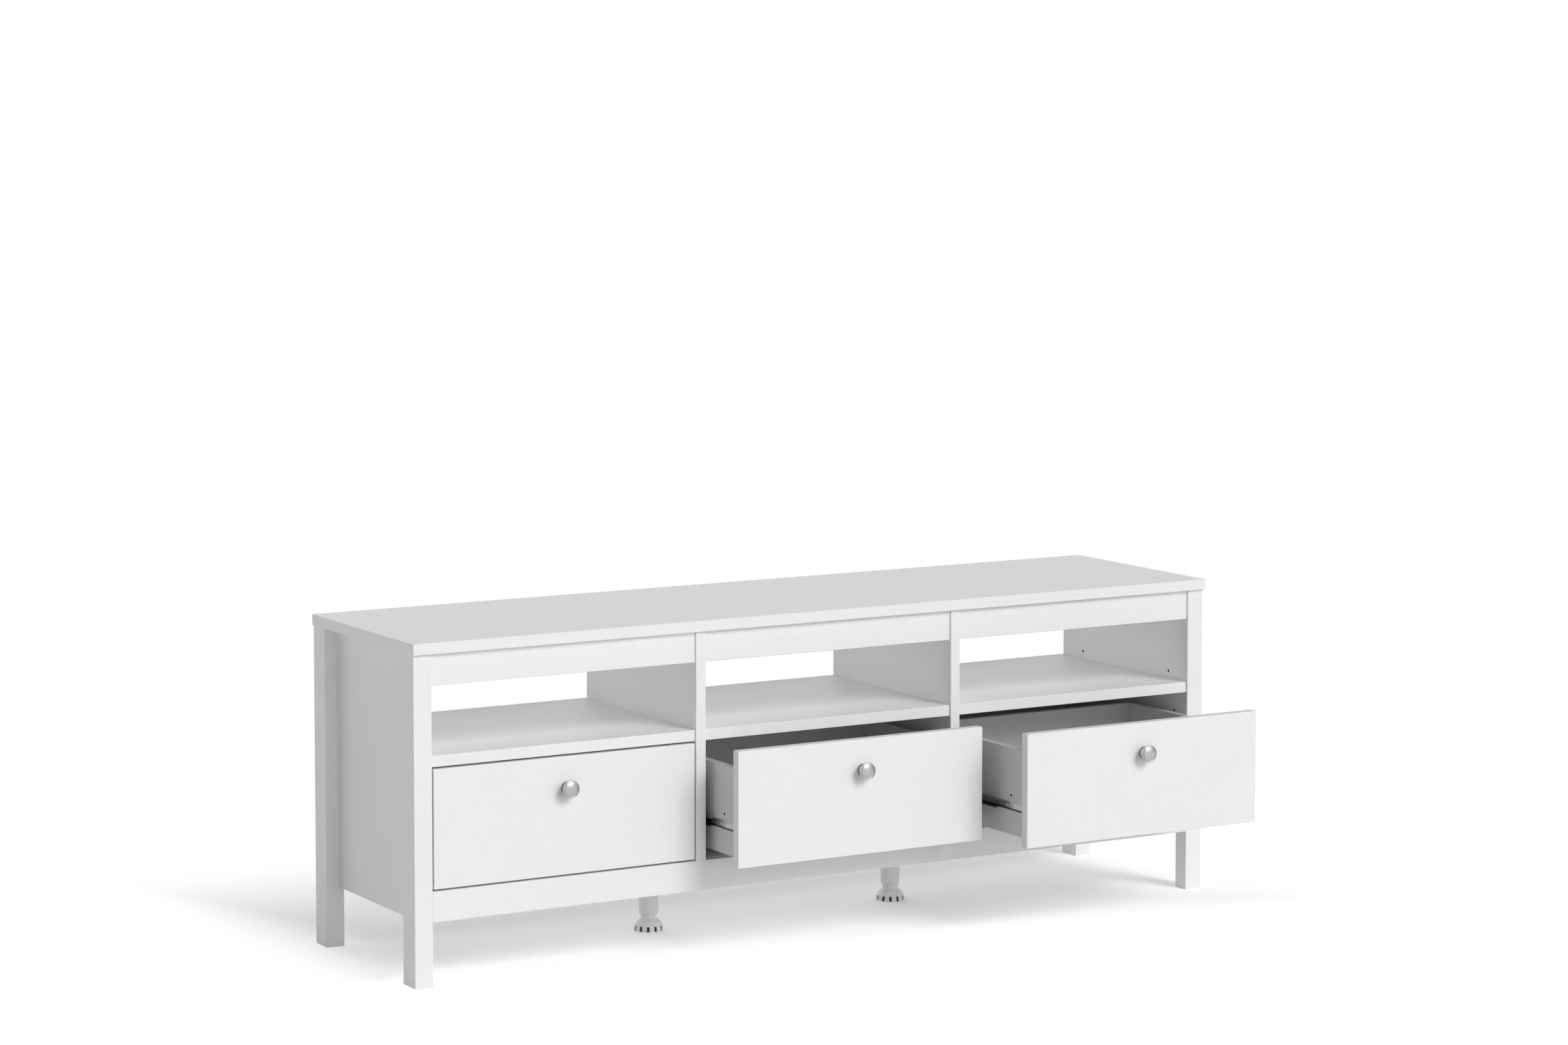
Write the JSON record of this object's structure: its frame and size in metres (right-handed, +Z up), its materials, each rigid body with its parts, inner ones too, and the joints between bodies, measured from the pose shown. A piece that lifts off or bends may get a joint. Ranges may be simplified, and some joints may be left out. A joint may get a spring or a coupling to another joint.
{
  "type": "television bench",
  "caption": "Low white television bench on square posts, with open compartments over knobbed drawers on ball-bearing slides and adjustable support feet under the middle.",
  "frame": {"origin": "on the floor under the middle of the box round the bench as stored, with two drawers pulled; the top panel's middle is 106 mm behind it", "axes": "+X to the right seen from the front, +Y to the back, +Z up"},
  "size_m": [1.506, 0.595, 0.54],
  "materials": {
    "white_board": "white foil on board, matt",
    "drawer_board": "white foil on board, matt",
    "hardboard": "white lacquered hardboard",
    "slide_steel": "zinc plated",
    "fitting_steel": "zinc plated",
    "knob_nickel": "satin nickel",
    "support_plastic": "moulded, satin"
  },
  "bodies": {
    "cabinet": {"top_panel": "white_board", "bottom_panel": "white_board", "bottom_rail": "white_board", "sleeve_screws": "fitting_steel", "back_nails": "fitting_steel", "front_post_left": "white_board", "rear_post_left": "white_board", "side_panel_left": "white_board", "divider_left": "white_board", "support_sleeve_left": "support_plastic", "front_post_right": "white_board", "rear_post_right": "white_board", "side_panel_right": "white_board", "divider_right": "white_board", "support_sleeve_right": "support_plastic", "top_rail_left": "white_board", "shelf_left": "white_board", "back_panel_left": "hardboard", "slide_channels_left": "slide_steel", "top_rail_middle": "white_board", "shelf_middle": "white_board", "back_panel_middle": "hardboard", "slide_channels_middle": "slide_steel", "top_rail_right": "white_board", "shelf_right": "white_board", "back_panel_right": "hardboard", "slide_channels_right": "slide_steel"},
    "drawer_left": {"drawer_front_left": "white_board", "drawer_side_left_left": "drawer_board", "drawer_side_right_left": "drawer_board", "drawer_back_left": "drawer_board", "drawer_floor_left": "hardboard", "drawer_knob_left": "knob_nickel", "slide_members_left": "slide_steel", "drawer_screws_left": "fitting_steel", "drawer_cam_locks_left": "fitting_steel"},
    "cages_left": {"slide_cages_left": "slide_steel"},
    "drawer_middle": {"drawer_front_middle": "white_board", "drawer_side_left_middle": "drawer_board", "drawer_side_right_middle": "drawer_board", "drawer_back_middle": "drawer_board", "drawer_floor_middle": "hardboard", "drawer_knob_middle": "knob_nickel", "slide_members_middle": "slide_steel", "drawer_screws_middle": "fitting_steel", "drawer_cam_locks_middle": "fitting_steel"},
    "cages_middle": {"slide_cages_middle": "slide_steel"},
    "drawer_right": {"drawer_front_right": "white_board", "drawer_side_left_right": "drawer_board", "drawer_side_right_right": "drawer_board", "drawer_back_right": "drawer_board", "drawer_floor_right": "hardboard", "drawer_knob_right": "knob_nickel", "slide_members_right": "slide_steel", "drawer_screws_right": "fitting_steel", "drawer_cam_locks_right": "fitting_steel"},
    "cages_right": {"slide_cages_right": "slide_steel"},
    "foot_left": {"support_foot_left": "support_plastic"},
    "foot_right": {"support_foot_right": "support_plastic"}
  },
  "joints": [
    {"name": "drawer_left_slide", "type": "slide", "parent": "cabinet", "child": "drawer_left", "axis": [0, -1, 0], "range_m": [0, 0.23]},
    {"name": "cages_left_slide", "type": "slide", "parent": "cabinet", "child": "cages_left", "axis": [0, -1, 0], "range_m": [0, 0.115]},
    {"name": "drawer_middle_slide", "type": "slide", "parent": "cabinet", "child": "drawer_middle", "axis": [0, -1, 0], "range_m": [-0.1, 0.13]},
    {"name": "cages_middle_slide", "type": "slide", "parent": "cabinet", "child": "cages_middle", "axis": [0, -1, 0], "range_m": [-0.05, 0.065]},
    {"name": "drawer_right_slide", "type": "slide", "parent": "cabinet", "child": "drawer_right", "axis": [0, -1, 0], "range_m": [-0.198, 0.032]},
    {"name": "cages_right_slide", "type": "slide", "parent": "cabinet", "child": "cages_right", "axis": [0, -1, 0], "range_m": [-0.099, 0.016]},
    {"name": "foot_left_height", "type": "slide", "parent": "cabinet", "child": "foot_left", "axis": [0, 0, -1], "range_m": [-0.006, 0.019]},
    {"name": "foot_right_height", "type": "slide", "parent": "cabinet", "child": "foot_right", "axis": [0, 0, -1], "range_m": [-0.006, 0.019]}
  ],
  "couplings": [
    {"joint": "cages_left_slide", "follows": "drawer_left_slide", "ratio": 0.5},
    {"joint": "cages_middle_slide", "follows": "drawer_middle_slide", "ratio": 0.5},
    {"joint": "cages_right_slide", "follows": "drawer_right_slide", "ratio": 0.5}
  ]
}
